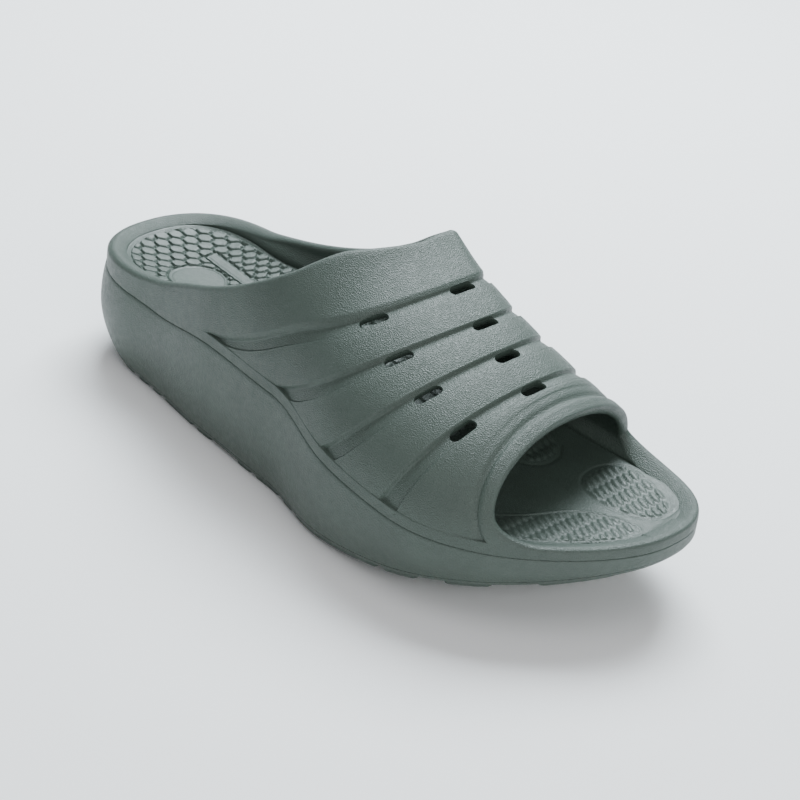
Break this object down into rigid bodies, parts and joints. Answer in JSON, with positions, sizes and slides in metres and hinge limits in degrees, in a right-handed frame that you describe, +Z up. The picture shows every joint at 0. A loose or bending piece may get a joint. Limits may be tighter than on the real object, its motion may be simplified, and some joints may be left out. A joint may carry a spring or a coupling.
{
  "type": "sport slide sandal",
  "caption": "Moulded foam slide sandal for the right foot, with a closed banded strap, a toe opening, vent slots, a contoured footbed and a lugged sole.",
  "frame": {"origin": "on the floor, under the middle of the shoe's length and width", "axes": "+X from heel to toe, +Y towards the inner side of the foot, +Z up"},
  "size_m": [0.29, 0.1138, 0.1014],
  "materials": {
    "foam": "matte moulded EVA foam with a fine pebbled grain"
  },
  "bodies": {
    "root": {"upper": "foam", "footbed": "foam", "midsole": "foam", "outsole": "foam"}
  },
  "joints": []
}
